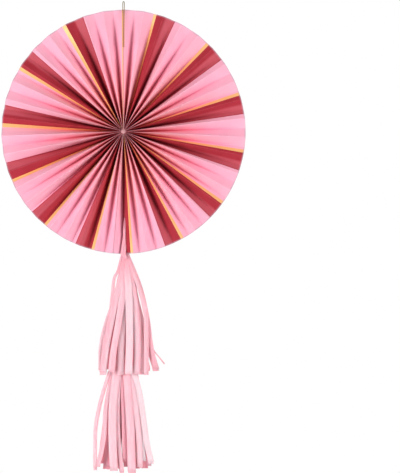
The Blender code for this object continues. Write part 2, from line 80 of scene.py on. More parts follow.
def make_camera():
    """Camera square to the disc, so far away that the photograph's height fills the sensor."""
    data = bpy.data.cameras.new("camera")
    data.lens = LENS
    data.sensor_width = SENSOR
    data.clip_start = CLIP_START
    data.clip_end = CLIP_END
    camera = bpy.data.objects.new("camera", data)
    bpy.context.collection.objects.link(camera)
    away = PHOTO_HEIGHT * SCALE * LENS / SENSOR
    camera.location = seen(PHOTO_WIDTH / 2, PHOTO_HEIGHT / 2) + Vector((0, -away, 0))
    camera.rotation_euler = (math.pi / 2, 0, 0)
    bpy.context.scene.camera = camera


# Helpers for node materials
NOISE_ROUGHNESS = 0.55


def new_material(name):
    made = bpy.data.materials.new(name)
    made.use_nodes = True
    tree = made.node_tree
    return made, tree, tree.nodes["Principled BSDF"]


def link(tree, source, target):
    tree.links.new(source, target)


def math_node(tree, operation, first, second=None):
    node = tree.nodes.new("ShaderNodeMath")
    node.operation = operation
    for socket, value in zip(node.inputs, (first, second)):
        if value is None:
            continue
        if isinstance(value, (int, float)):
            socket.default_value = value
        else:
            link(tree, value, socket)
    return node.outputs[0]


def plus(tree, first, second):
    return math_node(tree, "ADD", first, second)


def times(tree, first, second):
    return math_node(tree, "MULTIPLY", first, second)


def larger(tree, first, second):
    return math_node(tree, "MAXIMUM", first, second)


def weighted(tree, first, first_weight, second, second_weight):
    """Sum of two values, each times its weight."""
    return plus(tree, times(tree, first, first_weight), times(tree, second, second_weight))


def noise_node(tree, vector, scale, detail):
    node = tree.nodes.new("ShaderNodeTexNoise")
    node.inputs["Scale"].default_value = scale
    node.inputs["Detail"].default_value = detail
    node.inputs["Roughness"].default_value = NOISE_ROUGHNESS
    link(tree, vector, node.inputs["Vector"])
    return node.outputs["Fac"]


def mix_colour(tree, factor, first, second):
    node = tree.nodes.new("ShaderNodeMix")
    node.data_type = "RGBA"
    for socket, value in ((node.inputs[0], factor), (node.inputs[6], first), (node.inputs[7], second)):
        if isinstance(value, tuple):
            socket.default_value = (*value, 1.0)
        elif isinstance(value, (int, float)):
            socket.default_value = value
        else:
            link(tree, value, socket)
    return node.outputs[2]


def ramp(tree, factor, low, high):
    """Maps low..high of a factor to 0..1, clamped."""
    node = tree.nodes.new("ShaderNodeMapRange")
    node.inputs["From Min"].default_value = low
    node.inputs["From Max"].default_value = high
    link(tree, factor, node.inputs["Value"])
    return node.outputs["Result"]


def both(tree, first, first_range, second, second_range):
    """Product of two ramps, each over its own range."""
    return times(tree, ramp(tree, first, *first_range), ramp(tree, second, *second_range))


def bump(tree, shader, height, strength, distance):
    node = tree.nodes.new("ShaderNodeBump")
    node.inputs["Strength"].default_value = strength
    node.inputs["Distance"].default_value = distance
    link(tree, height, node.inputs["Height"])
    link(tree, node.outputs["Normal"], shader.inputs["Normal"])


def object_place(tree):
    """A point's place in its object, in metres."""
    return tree.nodes.new("ShaderNodeTexCoord").outputs["Object"]


def map_place(tree, name):
    """A point's place on a map of its mesh."""
    node = tree.nodes.new("ShaderNodeUVMap")
    node.uv_map = name
    return node.outputs["UV"]


def stretched(tree, vector, scale):
    node = tree.nodes.new("ShaderNodeMapping")
    node.inputs["Scale"].default_value = scale
    link(tree, vector, node.inputs["Vector"])
    return node.outputs["Vector"]


def split(tree, vector):
    """The three numbers of a vector."""
    node = tree.nodes.new("ShaderNodeSeparateXYZ")
    link(tree, vector, node.inputs["Vector"])
    return node.outputs["X"], node.outputs["Y"], node.outputs["Z"]


# Printed paper

# Ranges over which a tone comes in are across a panel, from nought on its ridge to a half in its
# groove, or out from the hub, in shares of the radius, or across a printed stripe, from nought at
# its gold side to one at the other. Shares say how much of a tone is mixed in.
CLOUD_RANGE = (0.3, 0.7)
FLECK_RANGE = (0.45, 0.8)
FLECK_SHARE = 0.10
ROUGH_EDGE = 0.015
RIDGE_ACROSS = (0.017, 0.008)
RIDGE_SHARE = 0.35
PALE_START = (0.44, 0.56)
PALE_END = (0.985, 0.94)
PALE_OUT = (0.15, 0.90)
# Painted warm light: the print turns warmer towards the hub, where the panels stand deeper
WARM_LIGHT_TINT = (1, 0.95, 0.79)
WARM_LIGHT_OUT = (0.72, 0.18)
WARM_LIGHT_SHARE = 0.75
# Painted shade in the grooves, widest and darkest towards the hub
WIDE_ACROSS = (0.12, 0.48)
WIDE_OUT = (0.86, 0.30)
NARROW_ACROSS = (0.33, 0.49)
NARROW_OUT = (0.97, 0.62)
GROOVE_OUT = (0.62, 0.22)
GROOVE_SHARE = 0.58
GROOVE_GAIN = 0.40
DEEP_SHADE_OUT = (0.66, 0.22)
SHALLOW_SHARE = 0.3
# Painted shade round the hub, kept off the ridges
HUB_SHADE_ACROSS = (0.01, 0.13)
HUB_SHADE_OUT = (0.27, 0.07)
HUB_SHADE_SHARE = 0.95
# Painted shadow line round the rim
RIM_SHADE_OUT = (0.988, 0.997)
RIM_SHADE_SHARE = 0.60
RIM_SHADE_COLOUR = (0.52, 0.40, 0.48)
ROUGHNESS_SPREAD = 0.14
WRINKLE_WEIGHT = 1.5
WRINKLE_HEIGHT = 0.0003


def ridge_distance(tree, fold):
    """How far a point is from its panel's ridge: nought on it, a half in the groove."""
    part = math_node(tree, "FRACT", plus(tree, fold, 0.5))
    return math_node(tree, "ABSOLUTE", math_node(tree, "SUBTRACT", part, 0.5))


def worn_share(tree, where, across, out, pale_half):
    """How much of the worn ink shows: on the ridges, and over the paler half of a stripe."""
    rough_edge = times(tree, noise_node(tree, where, 260, 3), ROUGH_EDGE)
    ridge = times(tree, ramp(tree, plus(tree, across, rough_edge), *RIDGE_ACROSS), RIDGE_SHARE)
    if not pale_half:
        return ridge
    stripe = split(tree, map_place(tree, "print"))[0]
    pale = both(tree, stripe, PALE_START, stripe, PALE_END)
    fading = times(tree, ramp(tree, out, *PALE_OUT), pale_half)
    return larger(tree, ridge, times(tree, pale, fading))


def groove_shade_share(tree, across, out):
    """How much painted shade shows in a groove: widely near the hub, and narrowly further out."""
    wide = both(tree, across, WIDE_ACROSS, out, WIDE_OUT)
    narrow = both(tree, across, NARROW_ACROSS, out, NARROW_OUT)
    strength = plus(tree, times(tree, ramp(tree, out, *GROOVE_OUT), GROOVE_GAIN), GROOVE_SHARE)
    return times(tree, larger(tree, wide, narrow), strength)


def paper_material(name, colour, deep, worn, groove, outer_groove_shade, roughness, metallic=0.0, gloss=0.05,
                   wrinkle=0.25, pale_half=0.0):
    """Printed paper: mottled ink, fine fibres, ink worn pale on the ridges, and painted shade in the grooves.

    A groove's painted shade has the colour groove near the hub, and further out one between that and the
    colour given after it.
    """
    made, tree, shader = new_material(name)
    where = object_place(tree)
    cloudy = noise_node(tree, where, 34, 4)
    fibres = noise_node(tree, where, 1900, 2)
    fold, out = split(tree, map_place(tree, "sheet"))[:2]
    across = ridge_distance(tree, fold)

    mottled = mix_colour(tree, ramp(tree, cloudy, *CLOUD_RANGE), colour, deep)
    flecked = mix_colour(tree, times(tree, ramp(tree, fibres, *FLECK_RANGE), FLECK_SHARE), mottled, worn)
    rubbed = mix_colour(tree, worn_share(tree, where, across, out, pale_half), flecked, worn)
    # Painted warm light towards the hub
    warm_light = tuple(part * tint for part, tint in zip(colour, WARM_LIGHT_TINT))
    warm_lit = mix_colour(tree, times(tree, ramp(tree, out, *WARM_LIGHT_OUT), WARM_LIGHT_SHARE), rubbed, warm_light)
    # Painted shade in the grooves, deeper in colour towards the hub
    shallow = tuple((1 - SHALLOW_SHARE) * a + SHALLOW_SHARE * b for a, b in zip(outer_groove_shade, groove))
    groove_shade_colour = mix_colour(tree, ramp(tree, out, *DEEP_SHADE_OUT), shallow, groove)
    groove_shaded = mix_colour(tree, groove_shade_share(tree, across, out), warm_lit, groove_shade_colour)
    # Painted shade round the hub, in the groove's colour
    hub_shade = times(tree, both(tree, across, HUB_SHADE_ACROSS, out, HUB_SHADE_OUT), HUB_SHADE_SHARE)
    hub_shaded = mix_colour(tree, hub_shade, groove_shaded, groove)
    # Painted shadow line round the rim
    rim_shaded = times(tree, ramp(tree, out, *RIM_SHADE_OUT), RIM_SHADE_SHARE)
    link(tree, mix_colour(tree, rim_shaded, hub_shaded, RIM_SHADE_COLOUR), shader.inputs["Base Color"])

    rough = plus(tree, times(tree, cloudy, ROUGHNESS_SPREAD), roughness - ROUGHNESS_SPREAD / 2)
    link(tree, rough, shader.inputs["Roughness"])
    shader.inputs["Metallic"].default_value = metallic
    shader.inputs["Specular IOR Level"].default_value = gloss
    height = plus(tree, fibres, times(tree, noise_node(tree, where, 120, 2), WRINKLE_WEIGHT))
    bump(tree, shader, height, wrinkle, WRINKLE_HEIGHT)
    return made


def plain_paper(name, colour, deep, roughness):
    """Paper without print: mottled, with fine fibres."""
    made, tree, shader = new_material(name)
    where = object_place(tree)
    cloudy = noise_node(tree, where, 60, 4)
    fibres = noise_node(tree, where, 2200, 2)
    tint = ramp(tree, weighted(tree, cloudy, 0.6, fibres, 0.4), 0.35, 0.7)
    link(tree, mix_colour(tree, tint, colour, deep), shader.inputs["Base Color"])
    shader.inputs["Roughness"].default_value = roughness
    bump(tree, shader, fibres, 0.3, 0.0002)
    return made


# Tissue's colours, one of them a painted shade, and the lengths down a strip between which the painted shade
# at the neck fades
TISSUE_DEEP = (0.93, 0.44, 0.51)
TISSUE_LIGHT = (0.97, 0.63, 0.685)
TISSUE_PALE = (0.95, 0.72, 0.76)
TISSUE_SHADE = (0.93, 0.27, 0.35)
NECK_SHADE_FADE = (0.060, 0.010)
NECK_SHADE_SHARE = 0.55
DEEPER_SHARE = 0.75
PALER_SHARE = 0.85
TISSUE_GLOW = (0.004, 0.0022, 0.0022)


def tissue_material():
    """Tissue: thin, soft and slightly translucent, with long streaks and crumpled fibres.

    Each strip has a tint of its own. Above nought its tone mixes in painted shade, below nought a paler tint,
    and painted shade deepens every strip at the neck.
    """
    made, tree, shader = new_material("tissue")
    pattern = map_place(tree, "strip")
    streaks = noise_node(tree, stretched(tree, pattern, (5.0, 0.9, 1.0)), 1.6, 4)
    fibres = noise_node(tree, object_place(tree), 900, 3)
    each = noise_node(tree, stretched(tree, pattern, (0.9, 0.05, 1.0)), 1.0, 1)
    fine = weighted(tree, streaks, 0.4, fibres, 0.15)
    tint = ramp(tree, plus(tree, fine, times(tree, each, 0.45)), 0.38, 0.62)
    tinted = mix_colour(tree, tint, TISSUE_DEEP, TISSUE_LIGHT)

    tone, run = split(tree, map_place(tree, "run"))[:2]
    # Painted shade at the neck, and by tone on the strips; a paler tint for tones below nought
    gathered = times(tree, ramp(tree, run, *NECK_SHADE_FADE), NECK_SHADE_SHARE)
    deeper = times(tree, ramp(tree, tone, 0.0, 1.0), DEEPER_SHARE)
    paler = times(tree, ramp(tree, tone, 0.0, -1.0), PALER_SHARE)
    faded = mix_colour(tree, paler, tinted, TISSUE_PALE)
    colour = mix_colour(tree, larger(tree, gathered, deeper), faded, TISSUE_SHADE)
    link(tree, colour, shader.inputs["Base Color"])

    shader.inputs["Roughness"].default_value = 0.72
    shader.inputs["Specular IOR Level"].default_value = 0.10
    shader.inputs["Subsurface Weight"].default_value = 0.55
    shader.inputs["Subsurface Radius"].default_value = TISSUE_GLOW
    bump(tree, shader, weighted(tree, streaks, 2.0, fibres, 0.5), 0.16, 0.0005)
    return made


# Heights between which the hanging thread turns from its painted glint on the disc to painted shade on its
# free loop
GLINT_TO_SHADE_HEIGHTS = (-0.024, -0.007)


def yarn_material(name, colour, deep, roughness, metallic, loop_shade_colour=None):
    """Twisted yarn: fine fibres and patches of a deeper tone, and painted shade where it hangs free."""
    made, tree, shader = new_material(name)
    where = object_place(tree)
    fibres = noise_node(tree, where, 2600, 3)
    patches = noise_node(tree, where, 420, 2)
    tint = ramp(tree, weighted(tree, fibres, 0.6, patches, 0.4), 0.35, 0.65)
    twisted = mix_colour(tree, tint, deep, colour)
    if loop_shade_colour:
        # Painted shade on the free loop above the disc
        height = split(tree, where)[2]
        twisted = mix_colour(tree, ramp(tree, height, *GLINT_TO_SHADE_HEIGHTS), twisted, loop_shade_colour)
    link(tree, twisted, shader.inputs["Base Color"])
    shader.inputs["Roughness"].default_value = roughness
    shader.inputs["Metallic"].default_value = metallic
    bump(tree, shader, fibres, 0.5, 0.0002)
    return made


def knot_material():
    """A ball of wound thread: turns of yarn round the knot, with painted shade between them."""
    made, tree, shader = new_material("knotted_thread")
    where = object_place(tree)
    turns = tree.nodes.new("ShaderNodeTexWave")
    turns.wave_type = "RINGS"
    turns.rings_direction = "Y"
    turns.inputs["Scale"].default_value = 430
    turns.inputs["Distortion"].default_value = 5.0
    turns.inputs["Detail"].default_value = 1.0
    turns.inputs["Detail Scale"].default_value = 0.6
    link(tree, where, turns.inputs["Vector"])
    fibres = noise_node(tree, where, 3000, 3)
    height = plus(tree, turns.outputs["Fac"], times(tree, fibres, 0.4))
    # Painted shade between the turns
    colour = mix_colour(tree, ramp(tree, height, 0.1, 1.1), (0.50, 0.20, 0.21), (0.88, 0.46, 0.47))
    link(tree, colour, shader.inputs["Base Color"])
    shader.inputs["Roughness"].default_value = 0.8
    bump(tree, shader, height, 0.8, 0.0004)
    return made


def tape_material():
    """Clear tape with a faint haze."""
    made, tree, shader = new_material("clear_tape")
    haze = noise_node(tree, object_place(tree), 500, 3)
    link(tree, mix_colour(tree, haze, (0.86, 0.84, 0.76), (0.95, 0.93, 0.88)), shader.inputs["Base Color"])
    shader.inputs["Roughness"].default_value = 0.3
    bump(tree, shader, haze, 0.2, 0.0002)
    return made


def floor_material():
    """Pale grey floor, slightly uneven in tone."""
    made, tree, shader = new_material("pale_floor")
    patches = noise_node(tree, object_place(tree), 3, 3)
    link(tree, mix_colour(tree, patches, (0.86, 0.86, 0.86), (0.90, 0.90, 0.90)), shader.inputs["Base Color"])
    shader.inputs["Roughness"].default_value = 0.9
    return made


# Folds of the pleated sheets, the same as in the solids

def fold_angle(n):
    """Angle of a fold. A whole number is a mountain fold, and a half one the valley between two."""
    if n < 0:
        return fold_angle(n + PLEATS) - 360
    if n > PLEATS:
        return fold_angle(n - PLEATS) + 360
    if n <= RIGHT_PLEATS:
        share = n / RIGHT_PLEATS
        return BOTTOM_SEAM_ANGLE * share + FOLD_LEAN * math.sin(math.pi * share)
    share = (PLEATS - n) / LEFT_PLEATS
    return 360 - (360 - BOTTOM_SEAM_ANGLE) * share - FOLD_LEAN * math.sin(math.pi * share)


def half_pitch(n):
    """Half of the angle between a fold's two neighbours, in radians."""
    return math.radians(fold_angle(n + 0.5) - fold_angle(n - 0.5)) / 2


HALF_PITCHES = [half_pitch(k / 2) for k in range(2 * PLEATS)]
PANEL_WIDTH = math.hypot(DISC_RADIUS * max(HALF_PITCHES), RIM_DEPTH)
PLEAT_LENGTH = 2 * PANEL_WIDTH


def seam_step(radius):
    """Step from one sheet to the next at a seam, which shrinks from the tape's start to the core."""
    share = min(1, (radius - CORE_RADIUS) / (TAPE_START - CORE_RADIUS))
    return CORE_SEAM_STEP + (SEAM_STEP - CORE_SEAM_STEP) * share


def open_share(radius):
    """Share of the circle that the two seams leave to the pleats."""
    return 1 - seam_step(radius) / (math.pi * radius)


def is_mountain(n):
    return round(2 * n) % 2 == 0


def fold_point(n, radius, left):
    """Arc and depth of fold n at a radius."""
    seams_before = 1.5 if left else 0.5
    arc = math.radians(fold_angle(n)) * open_share(radius) * radius + seam_step(radius) * seams_before
    across = radius * open_share(radius) * half_pitch(n)
    depth = math.sqrt(PANEL_WIDTH ** 2 - across ** 2) / 2
    if is_mountain(n):
        depth = -depth
        if left and n in (RIGHT_PLEATS, PLEATS):
            depth += seam_step(radius)
    return Vector((arc, depth))


def on_disc(point, radius):
    """Place from the hub of an arc and depth at a radius."""
    turn = point.x / radius
    return Vector((radius * math.sin(turn), point.y, radius * math.cos(turn)))


def front_normal(start, end):
    along = (end - start).normalized()
    return Vector((along.y, -along.x))


def flap_end(mountain, valley, radius):
    """Free edge of a glue flap, a step behind the right sheet's valley fold beside the seam."""
    side = -1 if valley > mountain else 1
    return fold_point(valley, radius, False) + Vector((side, 1)) * seam_step(radius)


def end_folds(left):
    """First and last fold of a sheet, without the left sheet's glue flaps."""
    return (RIGHT_PLEATS, PLEATS) if left else (0, RIGHT_PLEATS)


# Print on the sheets

# Right sheet (False) and left sheet (True): the fold number at which the flat sheet starts, the
# length at which its first stripe starts, and the step from a stripe to the next
STRIPES = {False: (0.0, 0.0512, 0.1062), True: (20.5, 0.0558, 0.1088)}
GOLD_WIDTH = 0.0060
BURGUNDY_WIDTH = 0.0343
# An edge of the print that is nearer than this to a fold lies on it
PRINT_SNAP = 0.0011
INKS = 3
PINK, GOLD, BURGUNDY = range(INKS)


def print_fields(left):
    """Printed fields as (start, end, ink) in fold numbers. The rest, and each sheet's last panel, is pink."""
    offset, first, step = STRIPES[left]

    def snapped(length):
        n = offset + length / PLEAT_LENGTH
        fold = round(2 * n) / 2
        return fold if abs(n - fold) * PLEAT_LENGTH < PRINT_SNAP else n

    last = (SHEET_PANELS - 1) * PANEL_WIDTH
    fields = []
    start = first
    while start < last:
        middle = start + GOLD_WIDTH
        fields.append((snapped(start), snapped(min(middle, last)), GOLD))
        if middle < last:
            fields.append((snapped(middle), snapped(min(middle + BURGUNDY_WIDTH, last)), BURGUNDY))
        start += step
    return fields


def printed(n, fields, ends):
    """Ink at a fold number, and the fold numbers where its field, or else the sheet, starts and ends."""
    for start, end, ink in fields:
        if start < n < end:
            return ink, start, end
    return PINK, *ends


# Mesh of the sheets

# Points across a panel and a glue flap, as shares of its width, how near to an edge of the print such
# a point may be, how far a fold is rounded off, and rows from the hub to the rim
PANEL_STOPS = (0.0, 0.028, 0.09, 0.26, 0.5, 0.74, 0.91, 0.972)
FLAP_STOPS = (1.0, 0.75, 0.5, 0.25, 0.05)
STOP_SPACE = 0.02
FOLD_ROUNDING = PANEL_STOPS[1] * PANEL_WIDTH * 0.25
SHEET_ROWS = 58
ROW_CROWDING = 0.35
ROW_POWER = 2.2
# How far a sheet's outer panels bow forward, clear of the tape behind them
SEAM_BOW = 0.0003
# Waves in the panels: height, waves for each fold and each metre, and place in the noise
PAPER_WAVES = ((0.00045, 2.7, 9, 1.3), (0.0003, 5.1, 30, 7.9))


def sheet_radii():
    """Radii of the rows, closer together towards the hub."""
    radii = []
    for k in range(SHEET_ROWS + 1):
        share = k / SHEET_ROWS
        out = ROW_CROWDING * share ** ROW_POWER + (1 - ROW_CROWDING) * share
        radii.append(CORE_RADIUS + (DISC_RADIUS - CORE_RADIUS) * out)
    return radii


def paper_wave(n, radius):
    """How far a panel's middle bows out of its plane, as hand-folded paper does."""
    grow = (radius / DISC_RADIUS) ** 2
    return grow * sum(height * noise.noise(Vector((n * by_fold, radius * by_metre, start)))
                      for height, by_fold, by_metre, start in PAPER_WAVES)


def sheet_columns(left):
    """Columns of the sheet's mesh, as (panel's first fold, share across the panel)."""
    first, last = end_folds(left)
    edges = {edge for start, end, ink in print_fields(left) for edge in (start, end)}
    columns = []
    for k in range(2 * first, 2 * last):
        shares = set(PANEL_STOPS)
        for edge in edges:
            share = 2 * edge - k
            if 0 < share < 1:
                shares = {s for s in shares if abs(s - share) > STOP_SPACE or s == 0} | {share}
        columns += [(k / 2, share) for share in sorted(shares)]
    return columns + [(float(last), 0.0)]


def sheet_row(columns, radius, left):
    """Points of a sheet at a radius, as (fold number, arc and depth), with the left sheet's flaps."""
    first, last = end_folds(left)
    folds = {k / 2: fold_point(k / 2, radius, left) for k in range(2 * first, 2 * last + 1)}
    start_flap = end_flap = None
    row = []
    if left:
        start_flap = flap_end(RIGHT_PLEATS, RIGHT_PLEATS - 0.5, radius)
        end_flap = flap_end(0, 0.5, radius) + Vector((2 * math.pi * radius, 0))
        row += [(first - share / 2, folds[first].lerp(start_flap, share)) for share in FLAP_STOPS]
    for n, share in columns:
        here = folds[n]
        ahead = folds.get(n + 0.5, end_flap)
        behind = folds.get(n - 0.5, start_flap)
        if share:
            spot = here.lerp(ahead, share)
            bow = paper_wave(n, radius) if first < n < last - 0.5 else SEAM_BOW
            spot += front_normal(here, ahead) * bow * math.sin(math.pi * share)
        else:
            spot = here.copy()
            if ahead and behind:
                spot += ((ahead - here).normalized() + (behind - here).normalized()) * FOLD_ROUNDING
        row.append((n + share / 2, spot))
    if left:
        row += [(last + share / 2, folds[last].lerp(end_flap, share)) for share in reversed(FLAP_STOPS)]
    return row


def sheet_shape(left):
    """A sheet's surface, with the print as its faces' materials and the maps sheet and print.

    The map sheet has the fold number and the share of the radius. The map print has the place across
    a printed stripe, from nought at its gold side to one at the other.
    """
    shape = bmesh.new()
    sheet_map = shape.loops.layers.uv.new("sheet")
    print_map = shape.loops.layers.uv.new("print")
    columns = sheet_columns(left)
    fields = print_fields(left)
    grid = []
    for radius in sheet_radii():
        row = sheet_row(columns, radius, left)
        grid.append([(n, shape.verts.new(on_disc(spot, radius)), radius) for n, spot in row])
    for inner, outer in zip(grid, grid[1:]):
        for k in range(len(inner) - 1):
            cell = (inner[k], inner[k + 1], outer[k + 1], outer[k])
            face = shape.faces.new([corner for n, corner, radius in cell])
            face.smooth = True
            middle = (inner[k][0] + inner[k + 1][0]) / 2
            face.material_index, start, end = printed(middle, fields, end_folds(left))
            for loop, (n, corner, radius) in zip(face.loops, cell):
                loop[sheet_map].uv = (n, radius / DISC_RADIUS)
                loop[print_map].uv = ((n - start) / (end - start), 0)
    for edge in shape.edges:
        if len(edge.link_faces) == 1:
            edge.smooth = False
    return shape


def face_forward(shape):
    shape.normal_update()
    if sum(face.normal.y * face.calc_area() for face in shape.faces) > 0:
        bmesh.ops.reverse_faces(shape, faces=shape.faces)


def mesh_object(name, shape, materials, location=(0, 0, 0)):
    """Makes an object of a shape, and frees the shape."""
    mesh = bpy.data.meshes.new(name)
    shape.to_mesh(mesh)
    shape.free()
    for material in materials:
        mesh.materials.append(material)
    made = bpy.data.objects.new(name, mesh)
    made.location = location
    bpy.context.collection.objects.link(made)
    return made


def thicken(made, name, thickness):
    """Gives a surface its thickness, half on each side."""
    thick = made.modifiers.new(name, "SOLIDIFY")
    thick.thickness = thickness
    thick.offset = 0
    return thick


def sheet_materials():
    """Finishes of the sheets: the inks, then the back and the cut edge, once for each ink."""
    inks = [
        # Each ink's groove colour and the one given after it are colours of painted shade
        paper_material("pink_print", colour=(0.95, 0.445, 0.57), deep=(0.92, 0.405, 0.53),
                       worn=(0.97, 0.56, 0.67), groove=(0.62, 0.005, 0.018), outer_groove_shade=(0.82, 0.16, 0.32),
                       roughness=0.60),
        paper_material("gold_foil_print", colour=(0.92, 0.50, 0.19), deep=(0.88, 0.43, 0.15),
                       worn=(0.97, 0.66, 0.36), groove=(0.92, 0.36, 0.18), outer_groove_shade=(0.92, 0.40, 0.18),
                       roughness=0.44, metallic=0.12, gloss=0.3, wrinkle=0.08),
        paper_material("burgundy_ink", colour=(0.43, 0.035, 0.053), deep=(0.37, 0.027, 0.042),
                       worn=(0.66, 0.15, 0.19), groove=(0.10, 0.004, 0.008), outer_groove_shade=(0.26, 0.010, 0.020),
                       roughness=0.42, pale_half=0.50),
    ]
    back = plain_paper("plain_back", (0.93, 0.43, 0.51), (0.88, 0.37, 0.45), 0.75)
    edge = plain_paper("cut_edge", (0.82, 0.66, 0.70), (0.74, 0.56, 0.60), 0.8)
    return inks + [back] * INKS + [edge] * INKS


def pleated_sheet(name, node, left, materials):
    shape = sheet_shape(left)
    face_forward(shape)
    made = mesh_object(name, shape, materials, HUB)
    thick = thicken(made, "paper", PAPER)
    thick.material_offset = INKS
    thick.material_offset_rim = 2 * INKS
    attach(made, "root")
    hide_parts(node)


# Hanging thread, whose route goes up from one end to the loop, through the same points as the solid's
THREAD_ROUTE = (
    (0.00095, -0.00755, -0.0755),
    (0.00100, -0.00704, -0.0625),
    (0.00100, -0.00637, -0.0485),
    (0.00105, -0.00568, -0.0365),
    (0.00115, -0.00488, -0.0255),
    (0.00120, -0.00404, -0.0165),
    (0.00125, -0.00322, -0.0110),
    (0.00130, -0.00170, -0.0060),
    (0.00125, -0.00070, -0.0032),
    (0.00090, -0.00014, -0.0009),
)
THREAD_POINTS = 620
SPLINE_STEPS = 12
YARN_PLIES = 3
YARN_LAY = 0.0042
YARN_SIDES = 14
PLY_DEPTH = 0.26


def smooth_route(points, count):
    """Points at even steps along a smooth curve through the given points, and its length."""
    ends = [points[0] * 2 - points[1]] + points + [points[-1] * 2 - points[-2]]
    fine = []
    for a, b, c, d in zip(ends, ends[1:], ends[2:], ends[3:]):
        for k in range(SPLINE_STEPS):
            t = k / SPLINE_STEPS
            bend = (b * 2 + (c - a) * t + (a * 2 - b * 5 + c * 4 - d) * t ** 2
                    + (b * 3 - a - c * 3 + d) * t ** 3)
            fine.append(bend / 2)
    fine.append(points[-1])
    marks = [0.0]
    for a, b in zip(fine, fine[1:]):
        marks.append(marks[-1] + (b - a).length)
    even = []
    k = 0
    for step in range(count):
        target = marks[-1] * step / (count - 1)
        while k < len(marks) - 2 and marks[k + 1] < target:
            k += 1
        even.append(fine[k].lerp(fine[k + 1], (target - marks[k]) / (marks[k + 1] - marks[k])))
    return even, marks[-1]


def yarn_tube(shape, route, radius):
    """A twisted yarn along a route: plies laid round each other, one turn in each lay."""
    rings = []
    along = 0.0
    side = Vector((1, 0, 0))
    for k, spot in enumerate(route):
        ahead = route[min(k + 1, len(route) - 1)]
        behind = route[max(k - 1, 0)]
        tangent = (ahead - behind).normalized()
        side = (side - tangent * side.dot(tangent)).normalized()
        up = tangent.cross(side)
        if k:
            along += (spot - route[k - 1]).length
        turn = 2 * math.pi * along / YARN_LAY
        ring = []
        for m in range(YARN_SIDES):
            angle = 2 * math.pi * m / YARN_SIDES
            lobe = abs(math.cos(YARN_PLIES * (angle - turn) / 2))
            reach = radius * (1 - PLY_DEPTH + PLY_DEPTH * lobe)
            ring.append(shape.verts.new(spot + (side * math.cos(angle) + up * math.sin(angle)) * reach))
        rings.append(ring)
    for near, far in zip(rings, rings[1:]):
        for m in range(YARN_SIDES):
            shape.faces.new((near[m - 1], near[m], far[m], far[m - 1])).smooth = True
    shape.faces.new(list(reversed(rings[0])))
    shape.faces.new(rings[-1])


def hanging_thread():
    """The doubled thread, up its right strand, round the loop and down its left one."""
    rise = [Vector(point) for point in THREAD_ROUTE]
    fall = [Vector((-point.x, point.y, point.z)) for point in reversed(rise)]
    route, length = smooth_route(rise + [Vector((0, 0, 0))] + fall, THREAD_POINTS)
    shape = bmesh.new()
    yarn_tube(shape, route, THREAD_WIDTH / 2)
    bmesh.ops.recalc_face_normals(shape, faces=shape.faces)
    material = yarn_material("gold_yarn", (0.60, 0.31, 0.07), (0.38, 0.20, 0.04), 0.75, 0.1,
                             loop_shade_colour=(0.18, 0.118, 0.022))
    made = mesh_object("hanging_yarn", shape, [material])
    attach(made, "root")
    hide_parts("hanging_thread")


# Layers of tissue

# Thickness of a strip's layer and of the tail's
TISSUE = 0.00008
TAIL_TISSUE = 0.0001
# Creases across a strip and along each metre of it, their height, and the length over which they grow
CREASES_ACROSS = 1.9
CREASES_ALONG = 38
CREASE_HEIGHT = 0.0005
CREASE_GROWTH = 0.03
# Length of the pattern's map for each metre, and shifts for each mark and layer, so that strips differ
PATTERN_ALONG = 30
MARK_CREASE_SHIFT = 3.1
MARK_PATTERN_SHIFT = (1.37, 0.61)
LAYER_PATTERN_SHIFT = 0.43


def strip_maps(shape):
    """The tissue's maps: the pattern's place on the strip, and the strip's tone and length so far."""
    return shape.loops.layers.uv.new("strip"), shape.loops.layers.uv.new("run")


def ribbon(shape, maps, spots, widths, curls, twists, mark, layer, columns, tone):
    """One layer of a strip: spots down its middle, its width, how far it curls forward and its turn.

    The layers of a strip share its mark, so that they crease together. Above nought the tone mixes in
    painted shade, and below nought a paler tint.
    """
    pattern_map, run_map = maps
    shift_across = mark * MARK_PATTERN_SHIFT[0] + layer * LAYER_PATTERN_SHIFT
    shift_along = mark * MARK_PATTERN_SHIFT[1]
    rows = []
    along = 0.0
    for k, (spot, turn) in enumerate(zip(spots, twists)):
        if k:
            along += (spot - spots[k - 1]).length
        side = Vector((math.cos(turn), math.sin(turn), 0))
        front = Vector((math.sin(turn), -math.cos(turn), 0))
        row = []
        for m in range(columns + 1):
            across = 2 * m / columns - 1
            crease = noise.noise(Vector((across * CREASES_ACROSS + mark * MARK_CREASE_SHIFT,
                                         along * CREASES_ALONG, mark)))
            lift = curls[k] * (1 - across * across) + crease * CREASE_HEIGHT * min(1.0, along / CREASE_GROWTH)
            corner = shape.verts.new(spot + side * across * widths[k] / 2 + front * lift)
            row.append((corner, m / columns, along))
        rows.append(row)
    for near, far in zip(rows, rows[1:]):
        for m in range(columns):
            cell = (near[m], near[m + 1], far[m + 1], far[m])
            face = shape.faces.new([corner for corner, share, run in cell])
            face.smooth = True
            for loop, (corner, share, run) in zip(face.loops, cell):
                loop[pattern_map].uv = (share + shift_across, run * PATTERN_ALONG + shift_along)
                loop[run_map].uv = (tone, run)


# Strips of the tassel

# Layers and columns of a strip, how it opens from the neck, and how much it leans and its back layer
# drops and shifts at random
STRIP_LAYERS = 2
STRIP_COLUMNS = 8
NECK_WIDTH = 0.0045
GATHER_LENGTH = 0.05
NECK_CURL = 1.6
STRIP_LEAN = 0.2
STRIP_WAVE = 2.2
LAYER_DROP = 0.004
LAYER_SHIFT = 0.0007
LAYER_GAP = 0.00045
# Share of the strip's length at which a shift is full
SHIFT_FULL = 0.25


